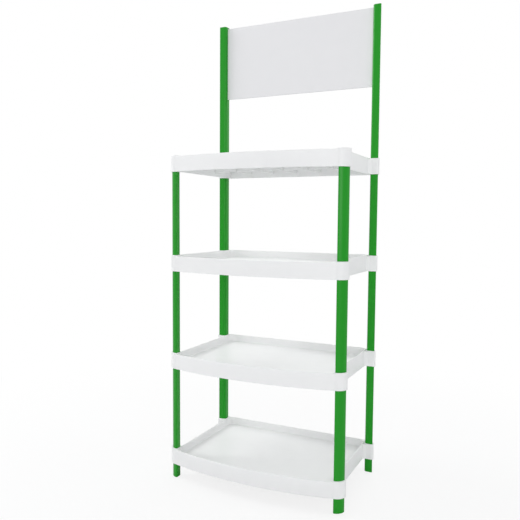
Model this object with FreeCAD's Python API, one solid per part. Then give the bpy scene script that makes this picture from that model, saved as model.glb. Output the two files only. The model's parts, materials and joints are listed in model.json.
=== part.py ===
import FreeCAD
import Part
import math
import os

# A four-tier plastic display stand. White moulded trays sit on green hollow posts of quarter-round section,
# and a header board stands in slots between the two long uprights at the back. Millimetres, +Z up. The origin
# is on the floor under the middle of the footprint, and the bowed fronts of the trays face -Y.

# Overall sizes
STAND_WIDTH = 600.0
STAND_DEPTH = 392.0
STAND_HEIGHT = 1542.0
TRAY_COUNT = 4
TRAY_PITCH = 318.0
FOOT_HEIGHT = 45.0

# Post section: two flat sides that meet in a rounded corner, and a large arc from tip to tip
POST_LEG = 27.0
POST_TIP_RADIUS = 3.0
POST_CORNER_RADIUS = 9.0
POST_WALL = 2.0

# Tray moulding
TRAY_HEIGHT = 52.0
FRONT_RIM_DROP = 3.0
SIDE_RIM_RISE = 1.5
TRAY_WALL = 3.0
SIDE_INSET = 34.0
FRONT_BOW = 32.0
FACE_SETBACK = 0.8
FLOOR_DROP = 24.0
FLOOR_THICKNESS = 3.0
RECESS_CORNER_RADIUS = 26.0
RECESS_FLOOR_RADIUS = 4.0
RIM_RADIUS = 1.2
FOOT_EDGE_RADIUS = 0.8

# Corner collars and their sockets
COLLAR_WALL = 4.0
SOCKET_DEPTH = 20.0
SOCKET_CLEARANCE = 0.3
WEB_REACH = 6.0

# Ribs under the tray floor
RIB_DEPTH = 12.0
RIB_THICKNESS = 2.5
CROSS_RIBS = 5
LONG_RIBS = 2

# Header board and its slots
BOARD_HEIGHT = 252.0
BOARD_THICKNESS = 5.0
BOARD_GRIP = 7.0
BOARD_OFFSET = 16.0
BOARD_TOP_GAP = 3.0
BOARD_EDGE_RADIUS = 0.8
SLOT_CLEARANCE = 0.3

# End caps, foot plugs and socket covers
CAP_THICKNESS = 3.0
CAP_RADIUS = 2.0
PLUG_DEPTH = 12.0
PLUG_CLEARANCE = 0.3
NOTCH_CLEARANCE = 1.0
COVER_THICKNESS = 2.5
COVER_EDGE_RADIUS = 0.8

# Places that follow from the sizes above
TIP_CENTRE = math.sqrt((POST_LEG - POST_TIP_RADIUS) ** 2 - POST_TIP_RADIUS ** 2)
COLLAR_REACH = TIP_CENTRE + POST_TIP_RADIUS + COLLAR_WALL
BACK_Y = STAND_DEPTH / 2
APEX_Y = -STAND_DEPTH / 2
INNER_X = STAND_WIDTH / 2 - COLLAR_REACH
INNER_BACK_Y = BACK_Y - COLLAR_REACH
INNER_FRONT_Y = APEX_Y + FRONT_BOW + COLLAR_REACH
SIDE_X = STAND_WIDTH / 2 - SIDE_INSET
FRONT_RIM_Z = TRAY_HEIGHT - FRONT_RIM_DROP
SIDE_RIM_Z = TRAY_HEIGHT + SIDE_RIM_RISE
RIM_STEP_Y = INNER_FRONT_Y - POST_CORNER_RADIUS * 2 / 3
FLOOR_Z = TRAY_HEIGHT - FLOOR_DROP
TRAY_BASES = [FOOT_HEIGHT + TRAY_PITCH * tier for tier in range(TRAY_COUNT)]
UPRIGHT_TOP = STAND_HEIGHT - CAP_THICKNESS
BOARD_TOP = UPRIGHT_TOP - BOARD_TOP_GAP
BOARD_BOTTOM = BOARD_TOP - BOARD_HEIGHT

CORNERS = {
    "front_left": (-1, -1),
    "front_right": (1, -1),
    "back_left": (-1, 1),
    "back_right": (1, 1),
}
BACK_CORNERS = ("back_left", "back_right")
FRONT_CORNERS = ("front_left", "front_right")


def corner_point(corner, along_x, along_y):
    """A point given outwards from the inner corner of the post at this corner of the stand."""
    side, end = CORNERS[corner]
    inner_y = INNER_BACK_Y if end > 0 else INNER_FRONT_Y
    return FreeCAD.Vector(side * (INNER_X + along_x), inner_y + end * along_y, 0)


def polar(centre, radius, angle):
    return centre[0] + radius * math.cos(angle), centre[1] + radius * math.sin(angle)


def post_face(corner, grow):
    """The post section at a corner, offset outwards by grow."""
    tip_angle = math.atan2(POST_TIP_RADIUS, TIP_CENTRE)
    right = math.pi / 2
    arcs = [
        ((TIP_CENTRE, POST_TIP_RADIUS), POST_TIP_RADIUS, -right, tip_angle),
        ((0.0, 0.0), POST_LEG, tip_angle, right - tip_angle),
        ((POST_TIP_RADIUS, TIP_CENTRE), POST_TIP_RADIUS, right - tip_angle, 2 * right),
        ((POST_CORNER_RADIUS, POST_CORNER_RADIUS), POST_CORNER_RADIUS, 2 * right, 3 * right),
    ]
    edges = []
    first = None
    last = None
    for centre, radius, start, stop in arcs:
        angles = (start, (start + stop) / 2, stop)
        points = [corner_point(corner, *polar(centre, radius + grow, angle)) for angle in angles]
        if last is None:
            first = points[0]
        elif last.distanceToPoint(points[0]) > 1e-6:
            edges.append(Part.LineSegment(last, points[0]).toShape())
        edges.append(Part.Arc(*points).toShape())
        last = points[2]
    edges.append(Part.LineSegment(last, first).toShape())
    return Part.Face(Part.Wire(edges))


def prism(face, bottom, top):
    solid = face.extrude(FreeCAD.Vector(0, 0, top - bottom))
    solid.translate(FreeCAD.Vector(0, 0, bottom))
    return solid


def post_prism(corner, grow, bottom, top):
    return prism(post_face(corner, grow), bottom, top)


def block(low, high):
    """A box between two corners."""
    size = [b - a for a, b in zip(low, high)]
    return Part.makeBox(*size, FreeCAD.Vector(*low))


def level_edges(shape, height):
    """Edges that lie wholly at one height."""
    return [edge for edge in shape.Edges if all(abs(v.Z - height) < 1e-5 for v in edge.Vertexes)]


def upright_edges(shape):
    found = []
    for edge in shape.Edges:
        ends = edge.Vertexes
        if len(ends) == 2 and math.hypot(ends[0].X - ends[1].X, ends[0].Y - ends[1].Y) < 1e-5:
            found.append(edge)
    return found


def front_arc():
    """Centre height and radius of the bowed front, which runs into both front collars."""
    collar_radius = POST_LEG + COLLAR_WALL - FACE_SETBACK
    reach = INNER_FRONT_Y - APEX_Y
    radius = (reach ** 2 + INNER_X ** 2 - collar_radius ** 2) / (2 * (reach - collar_radius))
    return APEX_Y + radius, radius


def tray_body_face():
    """The tray seen from above without its collars. Its corners end inside the collars."""
    centre_y, radius = front_arc()
    slope = math.atan2(INNER_X, centre_y - INNER_FRONT_Y)
    touch_x = radius * math.sin(slope)
    touch_y = centre_y - radius * math.cos(slope)
    back_y = BACK_Y - FACE_SETBACK
    back_x = INNER_X + POST_TIP_RADIUS
    half = [
        (touch_x, touch_y),
        (SIDE_X, INNER_FRONT_Y - POST_CORNER_RADIUS),
        (SIDE_X, INNER_BACK_Y + POST_CORNER_RADIUS),
        (back_x, back_y),
    ]
    points = [FreeCAD.Vector(x, y, 0) for x, y in half]
    points += [FreeCAD.Vector(-x, y, 0) for x, y in reversed(half)]
    edges = [Part.LineSegment(a, b).toShape() for a, b in zip(points, points[1:])]
    edges.append(Part.Arc(points[-1], FreeCAD.Vector(0, APEX_Y, 0), points[0]).toShape())
    return Part.Face(Part.Wire(edges))


def tray_inside_face(inset):
    """The room inside the tray walls, seen from above, when they are inset thick."""
    centre_y, radius = front_arc()
    side = SIDE_X - inset
    back = BACK_Y - FACE_SETBACK - inset
    front = centre_y - math.sqrt((radius - inset) ** 2 - side ** 2)
    right_front = FreeCAD.Vector(side, front, 0)
    right_back = FreeCAD.Vector(side, back, 0)
    left_back = FreeCAD.Vector(-side, back, 0)
    left_front = FreeCAD.Vector(-side, front, 0)
    edges = [
        Part.LineSegment(right_front, right_back).toShape(),
        Part.LineSegment(right_back, left_back).toShape(),
        Part.LineSegment(left_back, left_front).toShape(),
        Part.Arc(left_front, FreeCAD.Vector(0, APEX_Y + inset, 0), right_front).toShape(),
    ]
    return Part.Face(Part.Wire(edges))


def tray_recess():
    """The space for the goods, with rounded corners and a rounded foot to its walls."""
    recess = prism(tray_inside_face(TRAY_WALL), FLOOR_Z, SIDE_RIM_Z)
    recess = recess.makeFillet(RECESS_CORNER_RADIUS, upright_edges(recess))
    return recess.makeFillet(RECESS_FLOOR_RADIUS, level_edges(recess, FLOOR_Z))


def tray_rims(walls):
    """Tray walls with a low rim at the front and a higher one from the front collars round the back."""
    reach = STAND_WIDTH / 2
    walls = walls.cut(block((-reach, APEX_Y - TRAY_WALL, FRONT_RIM_Z), (reach, RIM_STEP_Y, SIDE_RIM_Z)))
    # The outer edges that end up inside the collars stay sharp.
    front = []
    for edge in level_edges(walls, FRONT_RIM_Z):
        box = edge.BoundBox
        if box.XMin < 0 < box.XMax or max(-box.XMin, box.XMax) < SIDE_X - RIM_RADIUS:
            front.append(edge)
    return walls.makeFillet(RIM_RADIUS, front + level_edges(walls, SIDE_RIM_Z))


def tray_ribs():
    """Ribs under the floor, let into the floor and the walls by half their thickness."""
    top = FLOOR_Z - FLOOR_THICKNESS / 2
    bottom = FLOOR_Z - FLOOR_THICKNESS - RIB_DEPTH
    half = RIB_THICKNESS / 2
    bars = []
    for index in range(CROSS_RIBS):
        x = SIDE_X * (2 * (index + 1) / (CROSS_RIBS + 1) - 1)
        bars.append(block((x - half, APEX_Y, bottom), (x + half, BACK_Y, top)))
    span = BACK_Y - (APEX_Y + FRONT_BOW)
    for index in range(LONG_RIBS):
        y = BACK_Y - span * (index + 1) / (LONG_RIBS + 1)
        bars.append(block((-SIDE_X, y - half, bottom), (SIDE_X, y + half, top)))
    grid = bars[0].fuse(bars[1:])
    return grid.common(prism(tray_inside_face(TRAY_WALL / 2), bottom, top))


def tray_collar(corner):
    collar = post_prism(corner, COLLAR_WALL, 0, TRAY_HEIGHT)
    return collar.makeFillet(RIM_RADIUS, level_edges(collar, TRAY_HEIGHT) + level_edges(collar, 0))


def collar_web(corner):
    """A web that fills the groove between a collar and the outside of the side wall."""
    wall = SIDE_X - TRAY_WALL / 2 - INNER_X
    outline = [
        (wall, -COLLAR_WALL - WEB_REACH),
        (POST_CORNER_RADIUS, FACE_SETBACK - COLLAR_WALL),
        (POST_CORNER_RADIUS, POST_CORNER_RADIUS),
        (wall, POST_CORNER_RADIUS),
        (wall, -COLLAR_WALL - WEB_REACH),
    ]
    face = Part.Face(Part.makePolygon([corner_point(corner, *place) for place in outline]))
    return prism(face, RIM_RADIUS, TRAY_HEIGHT - 2 * RIM_RADIUS)


def tray():
    """One tray with its underside at zero."""
    body = prism(tray_body_face(), 0, SIDE_RIM_Z)
    body = body.makeFillet(FOOT_EDGE_RADIUS, level_edges(body, 0))
    body = body.cut(prism(tray_inside_face(TRAY_WALL), 0, FLOOR_Z - FLOOR_THICKNESS))
    body = tray_rims(body.cut(tray_recess()))
    added = [tray_ribs()]
    sockets = []
    for corner in CORNERS:
        added += [tray_collar(corner), collar_web(corner)]
        sockets.append(post_prism(corner, SOCKET_CLEARANCE, 0, SOCKET_DEPTH))
        sockets.append(post_prism(corner, SOCKET_CLEARANCE, TRAY_HEIGHT - SOCKET_DEPTH, SIDE_RIM_Z))
    return body.fuse(added).cut(sockets).removeSplitter()


def tube(corner, bottom, top):
    outer = post_prism(corner, 0, bottom, top)
    return outer.cut(post_prism(corner, -POST_WALL, bottom, top))


def board_gap(corner, depth, clearance, bottom, top):
    """A block round the end of the header board where it enters an upright."""
    half = BOARD_THICKNESS / 2 + clearance
    ends = (corner_point(corner, -POST_WALL, BOARD_OFFSET - half), corner_point(corner, depth, BOARD_OFFSET + half))
    low = (min(p.x for p in ends), min(p.y for p in ends), bottom)
    high = (max(p.x for p in ends), max(p.y for p in ends), top)
    return block(low, high)


def upright(corner):
    """A long back post with a slot for the header board, open at the top."""
    bottom = TRAY_BASES[-1] + TRAY_HEIGHT - SOCKET_DEPTH
    slot = board_gap(corner, POST_WALL * 2, SLOT_CLEARANCE, BOARD_BOTTOM, UPRIGHT_TOP)
    return tube(corner, bottom, UPRIGHT_TOP).cut(slot)


def header_board():
    half_width = INNER_X + BOARD_GRIP
    middle_y = INNER_BACK_Y + BOARD_OFFSET
    half = BOARD_THICKNESS / 2
    board = block((-half_width, middle_y - half, BOARD_BOTTOM), (half_width, middle_y + half, BOARD_TOP))
    return board.makeFillet(BOARD_EDGE_RADIUS, board.Edges)


def plug(corner, bottom, top):
    return post_prism(corner, -POST_WALL - PLUG_CLEARANCE, bottom, top)


def header_cap(corner):
    """A cap on an upright. Its plug is notched where the header board passes."""
    plate = post_prism(corner, 0, UPRIGHT_TOP, STAND_HEIGHT)
    plate = plate.makeFillet(CAP_RADIUS, level_edges(plate, STAND_HEIGHT))
    bottom = UPRIGHT_TOP - PLUG_DEPTH
    notch = board_gap(corner, BOARD_GRIP + NOTCH_CLEARANCE, NOTCH_CLEARANCE, bottom, UPRIGHT_TOP)
    return plate.fuse(plug(corner, bottom, UPRIGHT_TOP).cut(notch))


def socket_cover(corner):
    """A hollow lid that closes an unused socket in the top tray and lies flush with its collar."""
    top = TRAY_BASES[-1] + TRAY_HEIGHT
    bottom = top - SOCKET_DEPTH
    lid = post_prism(corner, 0, bottom, top)
    lid = lid.makeFillet(COVER_EDGE_RADIUS, level_edges(lid, top))
    return lid.cut(post_prism(corner, -POST_WALL, bottom, top - COVER_THICKNESS))


def build():
    """Every piece of the stand by name."""
    pieces = {}
    moulding = tray()
    for tier, base in enumerate(TRAY_BASES, 1):
        pieces[f"tray_{tier}"] = moulding.translated(FreeCAD.Vector(0, 0, base))
    for corner in CORNERS:
        pieces[f"foot_{corner}"] = tube(corner, 0, FOOT_HEIGHT + SOCKET_DEPTH)
        pieces[f"foot_plug_{corner}"] = plug(corner, 0, PLUG_DEPTH)
        for tier, (lower, upper) in enumerate(zip(TRAY_BASES, TRAY_BASES[1:]), 1):
            bottom = lower + TRAY_HEIGHT - SOCKET_DEPTH
            pieces[f"post_{tier}_{corner}"] = tube(corner, bottom, upper + SOCKET_DEPTH)
    for corner in BACK_CORNERS:
        pieces[f"upright_{corner}"] = upright(corner)
        pieces[f"header_cap_{corner}"] = header_cap(corner)
    for corner in FRONT_CORNERS:
        pieces[f"socket_cover_{corner}"] = socket_cover(corner)
    pieces["header_board"] = header_board()
    return pieces


def main():
    os.makedirs("parts", exist_ok=True)
    for name, shape in build().items():
        shape.exportStep(os.path.join("parts", name + ".step"))
        box = shape.BoundBox
        print(f"{name:28s} solids {len(shape.Solids)} valid {shape.isValid()} volume {shape.Volume / 1000:8.1f} cm3"
              f" z {box.ZMin:7.1f} to {box.ZMax:7.1f}")


main()
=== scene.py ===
import json
import math

import bmesh
import bpy
from mathutils import Euler, Matrix, Vector

# A four-tier plastic display stand: white moulded trays on green extruded posts, and a plain header board
# between the two long uprights. Metres, +Z up, with the bowed fronts of the trays facing -Y.

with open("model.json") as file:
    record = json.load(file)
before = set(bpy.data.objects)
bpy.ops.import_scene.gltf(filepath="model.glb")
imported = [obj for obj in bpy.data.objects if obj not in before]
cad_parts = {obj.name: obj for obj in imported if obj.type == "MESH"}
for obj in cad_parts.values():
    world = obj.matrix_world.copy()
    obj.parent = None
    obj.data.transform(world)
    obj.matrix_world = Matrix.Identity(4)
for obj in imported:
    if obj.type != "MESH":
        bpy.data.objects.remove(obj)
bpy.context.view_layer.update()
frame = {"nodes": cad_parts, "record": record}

# Camera, as solved from the photograph's perspective for a picture 520 pixels wide
PICTURE_WIDTH = 520.0
FOCAL_PIXELS = 595.4
SENSOR_WIDTH = 36.0
CAMERA_PLACE = Vector((0.8010, -1.7605, 0.8535))
CAMERA_YAW = math.radians(25.743)
CAMERA_PITCH = math.radians(4.018)
CAMERA_ROLL = math.radians(0.393)

# Colours as written on the shaders, in linear light
TRAY_WHITE = (0.918, 0.918, 0.918, 1.0)
TRAY_MOTTLE = (0.62, 0.63, 0.66, 1.0)
TRAY_DUST = (0.46, 0.44, 0.41, 1.0)
TRAY_WEAR = (0.56, 0.56, 0.57, 1.0)
BOARD_WHITE = (0.855, 0.850, 0.862, 1.0)
BOARD_MOTTLE = (0.60, 0.61, 0.64, 1.0)
BOARD_CUT_EDGE = (0.68, 0.68, 0.69, 1.0)
POST_GREEN = (0.008, 0.305, 0.010, 1.0)
POST_DRAW_LINES = (0.006, 0.225, 0.010, 1.0)
POST_SCRATCHES = (0.040, 0.370, 0.050, 1.0)
POST_WEAR = (0.050, 0.390, 0.060, 1.0)
PLUG_BLACK = (0.022, 0.023, 0.022, 1.0)
PLUG_DUST = (0.12, 0.115, 0.11, 1.0)
FLOOR_PALE = (0.900, 0.900, 0.902, 1.0)
WHITE = (1.0, 1.0, 1.0, 1.0)
SKY_WHITE = (0.970, 0.984, 1.0, 1.0)

# Between these two values lies nearly all of a noise
NOISE_LOW, NOISE_HIGH = 0.3, 0.7
LINES_LOW, LINES_HIGH = 0.35, 0.65

# The stage. The floor's own glow, as the camera sees it, grows from near the stand to far from it
FLOOR_HALF_WIDTH = 30.0
GLOW_NEAR, GLOW_FAR = 0.45, 1.8
GLOW_SHARE_NEAR, GLOW_SHARE_FAR = 0.80, 1.0
AMBIENT_STRENGTH = 0.60
BACKDROP_STRENGTH = 1.0

# Points on the stand's centre line that the lamps are aimed at
UPPER_MIDDLE = (0.0, 0.0, 0.9)
LOWER_MIDDLE = (0.0, 0.0, 0.8)

FLOAT = "NodeSocketFloat"
VECTOR = "NodeSocketVector"


def add(tree, kind, settings=None, **sockets):
    """A shader node with its settings, and its inputs given as values or as outputs of other nodes.

    An input is named by its label with underscores for spaces, or by its number after a letter, as in i0.
    """
    node = tree.nodes.new(kind)
    for name, value in (settings or {}).items():
        setattr(node, name, value)
    for name, value in sockets.items():
        socket = node.inputs[int(name[1:])] if name[1:].isdigit() else node.inputs[name.replace("_", " ")]
        if isinstance(value, bpy.types.NodeSocket):
            tree.links.new(value, socket)
        else:
            socket.default_value = value
    return node


def math_node(tree, operation, first, second=0.0, clamp=False):
    settings = {"operation": operation, "use_clamp": clamp}
    return add(tree, "ShaderNodeMath", settings, i0=first, i1=second).outputs[0]


def scaled(tree, value, share):
    return math_node(tree, "MULTIPLY", value, share)


def remap(tree, value, low, high, to_low=0.0, to_high=1.0, smooth=False):
    settings = {"interpolation_type": "SMOOTHSTEP" if smooth else "LINEAR"}
    node = add(tree, "ShaderNodeMapRange", settings, Value=value, i1=low, i2=high, i3=to_low, i4=to_high)
    return node.outputs["Result"]


def mix_colour(tree, share, first, second):
    settings = {"data_type": "RGBA", "blend_type": "MIX", "clamp_result": True}
    return add(tree, "ShaderNodeMix", settings, i0=share, i6=first, i7=second).outputs[2]


def noise(tree, place, scale, detail=3.0, roughness=0.5):
    values = {"Vector": place, "Scale": scale, "Detail": detail, "Roughness": roughness}
    return add(tree, "ShaderNodeTexNoise", {"noise_dimensions": "3D"}, **values).outputs[0]


def stretch(tree, place, scale, turn=(0.0, 0.0, 0.0)):
    return add(tree, "ShaderNodeMapping", None, Vector=place, Rotation=turn, Scale=scale).outputs[0]


def new_group(name, inputs, outputs):
    """An effect as a node group, with named inputs and outputs."""
    tree = bpy.data.node_groups.new(name, "ShaderNodeTree")
    for label, kind, value in inputs:
        socket = tree.interface.new_socket(label, in_out="INPUT", socket_type=kind)
        if value is not None:
            socket.default_value = value
    for label, kind in outputs:
        tree.interface.new_socket(label, in_out="OUTPUT", socket_type=kind)
    return tree, tree.nodes.new("NodeGroupInput").outputs, tree.nodes.new("NodeGroupOutput").inputs


def place_group(tree, group, **sockets):
    node = add(tree, "ShaderNodeGroup", {"node_tree": group}, **sockets)
    return node.outputs


def edge_wear_group():
    """A mask along the outer edges, broken up by noise, where handling has polished and soiled them."""
    inputs = [("Place", VECTOR, None), ("Radius", FLOAT, 0.002), ("Patchiness", FLOAT, 30.0)]
    flat, sharp = 0.99, 0.80
    patch_low, patch_high = 0.42, 0.62
    tree, given, result = new_group("edge_wear", inputs, [("Mask", FLOAT)])
    bevel = add(tree, "ShaderNodeBevel", {"samples": 4}, Radius=given["Radius"]).outputs[0]
    normal = add(tree, "ShaderNodeNewGeometry").outputs["Normal"]
    same = add(tree, "ShaderNodeVectorMath", {"operation": "DOT_PRODUCT"}, i0=bevel, i1=normal)
    edge = remap(tree, same.outputs["Value"], flat, sharp)
    spread = noise(tree, given["Place"], given["Patchiness"], detail=4.0)
    patches = remap(tree, spread, patch_low, patch_high)
    tree.links.new(math_node(tree, "MULTIPLY", edge, patches), result["Mask"])
    return tree


def moulded_grain_group():
    """The fine satin texture of a moulding, with the slight waviness of a large thin wall."""
    inputs = [("Place", VECTOR, None), ("Grain", FLOAT, 900.0), ("Wave", FLOAT, 9.0)]
    grain_depth = 0.12
    tree, given, result = new_group("moulded_grain", inputs, [("Height", FLOAT), ("Mottle", FLOAT)])
    fine = noise(tree, given["Place"], given["Grain"], detail=2.0)
    wave = noise(tree, given["Place"], given["Wave"], detail=2.0)
    tree.links.new(math_node(tree, "ADD", scaled(tree, fine, grain_depth), wave), result["Height"])
    tree.links.new(noise(tree, given["Place"], scale=24.0, detail=5.0, roughness=0.6), result["Mottle"])
    return tree


def scuffs_group():
    """Sparse fine scratches in two directions."""
    inputs = [("Place", VECTOR, None), ("Density", FLOAT, 1.0)]
    scratch_low, scratch_high = 0.70, 0.76
    patch_low, patch_high = 0.50, 0.68
    tree, given, result = new_group("scuffs", inputs, [("Mask", FLOAT)])
    marks = []
    for turn in (0.6, -1.1):
        along = stretch(tree, given["Place"], scale=(220.0, 9.0, 60.0), turn=(0.2, 0.1, turn))
        marks.append(remap(tree, noise(tree, along, scale=1.0, detail=1.0), scratch_low, scratch_high))
    where = remap(tree, noise(tree, given["Place"], scale=5.0), patch_low, patch_high)
    both = math_node(tree, "MULTIPLY", math_node(tree, "MAXIMUM", *marks), where)
    tree.links.new(math_node(tree, "MULTIPLY", both, given["Density"], clamp=True), result["Mask"])
    return tree


def settled_dust_group():
    """Dust that lies on faces that look up, and most of all in their corners."""
    inputs = [("Place", VECTOR, None), ("Distance", FLOAT, 0.03)]
    open_face, deep_corner = 1.0, 0.35
    steep, level = 0.2, 0.9
    patch_low, patch_high = 0.35, 0.75
    tree, given, result = new_group("settled_dust", inputs, [("Mask", FLOAT)])
    settings = {"samples": 4, "only_local": True}
    corner = add(tree, "ShaderNodeAmbientOcclusion", settings, Distance=given["Distance"])
    shade = remap(tree, corner.outputs["AO"], open_face, deep_corner)
    normal = add(tree, "ShaderNodeNewGeometry").outputs["Normal"]
    up = remap(tree, add(tree, "ShaderNodeSeparateXYZ", None, i0=normal).outputs["Z"], steep, level)
    spread = noise(tree, given["Place"], scale=14.0, detail=6.0, roughness=0.65)
    patches = remap(tree, spread, patch_low, patch_high)
    lying = math_node(tree, "MULTIPLY", shade, up)
    tree.links.new(math_node(tree, "MULTIPLY", lying, patches), result["Mask"])
    return tree


def extrusion_lines_group():
    """Faint draw lines that run the length of an extruded post."""
    inputs = [("Place", VECTOR, None)]
    fine_share, broad_share = 0.4, 0.6
    tree, given, result = new_group("extrusion_lines", inputs, [("Height", FLOAT), ("Tone", FLOAT)])
    fine = noise(tree, stretch(tree, given["Place"], scale=(700.0, 700.0, 1.2)), scale=1.0)
    broad = noise(tree, stretch(tree, given["Place"], scale=(160.0, 160.0, 0.8)), scale=1.0, detail=2.0)
    height = math_node(tree, "ADD", scaled(tree, fine, fine_share), scaled(tree, broad, broad_share))
    tree.links.new(height, result["Height"])
    tree.links.new(broad, result["Tone"])
    return tree


edge_wear = edge_wear_group()
moulded_grain = moulded_grain_group()
scuffs = scuffs_group()
settled_dust = settled_dust_group()
extrusion_lines = extrusion_lines_group()


def new_finish(name):
    """A material with a Principled shader, its node tree and the place of each point on the object."""
    material = bpy.data.materials.new(name)
    material.use_nodes = True
    tree = material.node_tree
    tree.nodes.clear()
    shader = add(tree, "ShaderNodeBsdfPrincipled")
    output = add(tree, "ShaderNodeOutputMaterial")
    tree.links.new(shader.outputs[0], output.inputs["Surface"])
    return material, tree, shader, add(tree, "ShaderNodeTexCoord").outputs["Object"]


def finish_normal(tree, shader, height, strength, distance):
    bump = add(tree, "ShaderNodeBump", None, Height=height, Strength=strength, Distance=distance)
    tree.links.new(bump.outputs[0], shader.inputs["Normal"])


def moulded_white():
    """Satin white polypropylene: fine grain, faint mottle, some dust in the corners, worn rims."""
    mottle_share, dust_share, wear_share = 0.05, 0.30, 0.25
    smoothest, roughest = 0.36, 0.46
    dust_dulls, scuffs_polish = 0.25, 0.12
    material, tree, shader, place = new_finish("moulded_white")
    grain = place_group(tree, moulded_grain, Place=place)
    wear = place_group(tree, edge_wear, Place=place)["Mask"]
    dust = place_group(tree, settled_dust, Place=place)["Mask"]
    marks = place_group(tree, scuffs, Place=place)["Mask"]
    mottle = remap(tree, grain["Mottle"], NOISE_LOW, NOISE_HIGH, 0.0, mottle_share)
    tone = mix_colour(tree, mottle, TRAY_WHITE, TRAY_MOTTLE)
    tone = mix_colour(tree, scaled(tree, dust, dust_share), tone, TRAY_DUST)
    tone = mix_colour(tree, scaled(tree, wear, wear_share), tone, TRAY_WEAR)
    tree.links.new(tone, shader.inputs["Base Color"])
    rough = remap(tree, grain["Mottle"], NOISE_LOW, NOISE_HIGH, smoothest, roughest)
    rough = math_node(tree, "ADD", rough, scaled(tree, dust, dust_dulls))
    rough = math_node(tree, "SUBTRACT", rough, scaled(tree, marks, scuffs_polish), clamp=True)
    tree.links.new(rough, shader.inputs["Roughness"])
    shader.inputs["Subsurface Weight"].default_value = 0.30
    shader.inputs["Subsurface Radius"].default_value = (1.0, 1.0, 1.0)
    shader.inputs["Subsurface Scale"].default_value = 0.004
    finish_normal(tree, shader, grain["Height"], strength=0.35, distance=0.0006)
    return material


def extruded_green():
    """Glossy green extrusion with faint draw lines along each post."""
    line_share, scratch_share, wear_share = 0.22, 0.30, 0.35
    smoothest, roughest = 0.28, 0.36
    scuffs_dull = 0.18
    material, tree, shader, place = new_finish("extruded_green")
    lines = place_group(tree, extrusion_lines, Place=place)
    wear = place_group(tree, edge_wear, Place=place, Radius=0.0015)["Mask"]
    marks = place_group(tree, scuffs, Place=place)["Mask"]
    drawn = remap(tree, lines["Tone"], LINES_LOW, LINES_HIGH, 0.0, line_share)
    tone = mix_colour(tree, drawn, POST_GREEN, POST_DRAW_LINES)
    tone = mix_colour(tree, scaled(tree, marks, scratch_share), tone, POST_SCRATCHES)
    tone = mix_colour(tree, scaled(tree, wear, wear_share), tone, POST_WEAR)
    tree.links.new(tone, shader.inputs["Base Color"])
    rough = remap(tree, lines["Tone"], LINES_LOW, LINES_HIGH, smoothest, roughest)
    rough = math_node(tree, "ADD", rough, scaled(tree, marks, scuffs_dull))
    tree.links.new(rough, shader.inputs["Roughness"])
    shader.inputs["Specular IOR Level"].default_value = 0.28
    finish_normal(tree, shader, lines["Height"], strength=0.25, distance=0.0003)
    return material


def header_board_skin():
    """A foam board with a smooth satin skin on its two faces and darker, duller cut edges."""
    mottle_share = 0.04
    side_on, face_on = 0.6, 0.8
    edge_roughness, face_roughness = 0.75, 0.38
    scuffs_polish = 0.08
    material, tree, shader, place = new_finish("header_board_skin")
    normal = add(tree, "ShaderNodeNewGeometry").outputs["Normal"]
    across = add(tree, "ShaderNodeSeparateXYZ", None, i0=normal).outputs["Y"]
    face = remap(tree, math_node(tree, "ABSOLUTE", across), side_on, face_on)
    grain = place_group(tree, moulded_grain, Place=place, Grain=1400.0, Wave=5.0)
    marks = place_group(tree, scuffs, Place=place)["Mask"]
    mottle = remap(tree, grain["Mottle"], NOISE_LOW, NOISE_HIGH, 0.0, mottle_share)
    tone = mix_colour(tree, face, BOARD_CUT_EDGE, mix_colour(tree, mottle, BOARD_WHITE, BOARD_MOTTLE))
    tree.links.new(tone, shader.inputs["Base Color"])
    rough = remap(tree, face, 0.0, 1.0, edge_roughness, face_roughness)
    rough = math_node(tree, "SUBTRACT", rough, scaled(tree, marks, scuffs_polish))
    tree.links.new(rough, shader.inputs["Roughness"])
    finish_normal(tree, shader, grain["Height"], strength=0.25, distance=0.0006)
    return material


def plug_plastic():
    """Dull black plastic with dust where it looks up."""
    smoothest, roughest = 0.45, 0.60
    material, tree, shader, place = new_finish("plug_black")
    grain = place_group(tree, moulded_grain, Place=place, Grain=1200.0, Wave=60.0)
    dust = place_group(tree, settled_dust, Place=place)["Mask"]
    tree.links.new(mix_colour(tree, dust, PLUG_BLACK, PLUG_DUST), shader.inputs["Base Color"])
    rough = remap(tree, grain["Mottle"], NOISE_LOW, NOISE_HIGH, smoothest, roughest)
    tree.links.new(rough, shader.inputs["Roughness"])
    finish_normal(tree, shader, grain["Height"], strength=0.4, distance=0.0003)
    return material


finishes = {
    "tray_white": moulded_white(),
    "post_green": extruded_green(),
    "board_white": header_board_skin(),
    "plug_black": plug_plastic(),
}
for part in frame["record"]["subparts"]:
    for material_slot in frame["nodes"][part["node"]].material_slots:
        material_slot.material = finishes[part["material_slot"]]


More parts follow.
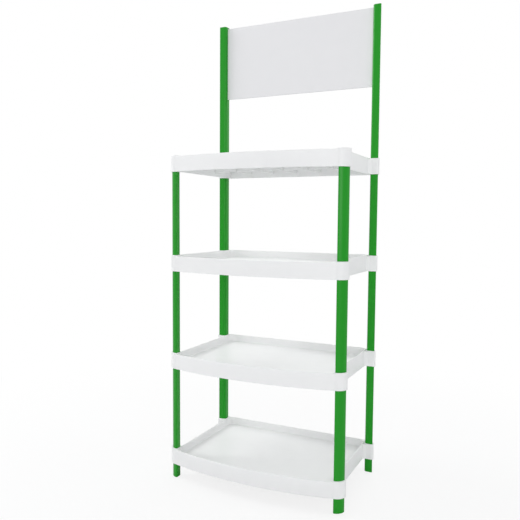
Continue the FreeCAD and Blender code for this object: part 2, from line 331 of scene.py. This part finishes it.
def studio_floor():
    """A pale floor that keeps the stand's shadow and goes to white away from it, as the camera sees it."""
    mesh = bpy.data.meshes.new("studio_floor")
    shape = bmesh.new()
    bmesh.ops.create_grid(shape, x_segments=1, y_segments=1, size=FLOOR_HALF_WIDTH)
    shape.to_mesh(mesh)
    shape.free()
    floor = bpy.data.objects.new("studio_floor", mesh)
    bpy.context.scene.collection.objects.link(floor)
    material, tree, shader, place = new_finish("studio_floor")
    fine = noise(tree, place, scale=60.0)
    smoothest, roughest = 0.55, 0.65
    rough = remap(tree, fine, NOISE_LOW, NOISE_HIGH, smoothest, roughest)
    tree.links.new(rough, shader.inputs["Roughness"])
    shader.inputs["Base Color"].default_value = FLOOR_PALE
    glow = add(tree, "ShaderNodeEmission", None, Color=WHITE, Strength=1.0)
    seen = add(tree, "ShaderNodeLightPath").outputs["Is Camera Ray"]
    away = add(tree, "ShaderNodeVectorMath", {"operation": "LENGTH"}, i0=place).outputs["Value"]
    growing = remap(tree, away, GLOW_NEAR, GLOW_FAR, GLOW_SHARE_NEAR, GLOW_SHARE_FAR, smooth=True)
    share = math_node(tree, "MULTIPLY", seen, growing)
    both = add(tree, "ShaderNodeMixShader", None, i0=share, i1=shader.outputs[0], i2=glow.outputs[0])
    surface = next(node for node in tree.nodes if node.type == "OUTPUT_MATERIAL").inputs["Surface"]
    tree.links.new(both.outputs[0], surface)
    mesh.materials.append(material)


def studio_world():
    """Even pale light from all round, seen as white by the camera, in gloss and through clear pieces."""
    world = bpy.data.worlds.new("studio")
    world.use_nodes = True
    tree = world.node_tree
    tree.nodes.clear()
    path = add(tree, "ShaderNodeLightPath").outputs
    seen = math_node(tree, "MAXIMUM", path["Is Camera Ray"], path["Is Transmission Ray"])
    seen = math_node(tree, "MAXIMUM", seen, path["Is Glossy Ray"])
    ambient = add(tree, "ShaderNodeBackground", None, Color=SKY_WHITE, Strength=AMBIENT_STRENGTH)
    backdrop = add(tree, "ShaderNodeBackground", None, Color=WHITE, Strength=BACKDROP_STRENGTH)
    both = add(tree, "ShaderNodeMixShader", None, i0=seen, i1=ambient.outputs[0], i2=backdrop.outputs[0])
    output = add(tree, "ShaderNodeOutputWorld")
    tree.links.new(both.outputs[0], output.inputs["Surface"])
    bpy.context.scene.world = world


def softbox(name, place, target, width, height, power):
    """A rectangular lamp, aimed at a point, that the camera doesn't see."""
    light = bpy.data.lights.new(name, "AREA")
    light.shape = "RECTANGLE"
    light.size = width
    light.size_y = height
    light.energy = power
    lamp = bpy.data.objects.new(name, light)
    lamp.location = place
    lamp.rotation_euler = (Vector(target) - Vector(place)).to_track_quat("-Z", "Y").to_euler()
    lamp.visible_camera = False
    bpy.context.scene.collection.objects.link(lamp)


def photo_camera():
    data = bpy.data.cameras.new("camera")
    data.sensor_width = SENSOR_WIDTH
    data.lens = FOCAL_PIXELS / PICTURE_WIDTH * SENSOR_WIDTH
    camera = bpy.data.objects.new("camera", data)
    level = Euler((math.pi / 2 - CAMERA_PITCH, 0.0, CAMERA_YAW)).to_matrix()
    turned = level @ Matrix.Rotation(CAMERA_ROLL, 3, "Z")
    camera.location = CAMERA_PLACE
    camera.rotation_euler = turned.to_euler()
    bpy.context.scene.collection.objects.link(camera)
    bpy.context.scene.camera = camera


studio_floor()
studio_world()
softbox("key_left", (-2.27, -0.37, 2.45), UPPER_MIDDLE, width=1.0, height=1.6, power=31.0)
softbox("fill_front", (1.24, -2.73, 1.40), UPPER_MIDDLE, width=1.5, height=1.5, power=19.0)
softbox("fill_right", (1.73, 0.79, 2.30), UPPER_MIDDLE, width=1.5, height=1.5, power=7.0)
softbox("fill_back", (-0.30, 2.70, 2.00), LOWER_MIDDLE, width=1.5, height=1.5, power=11.5)
photo_camera()
bpy.context.scene.view_settings.view_transform = "Standard"
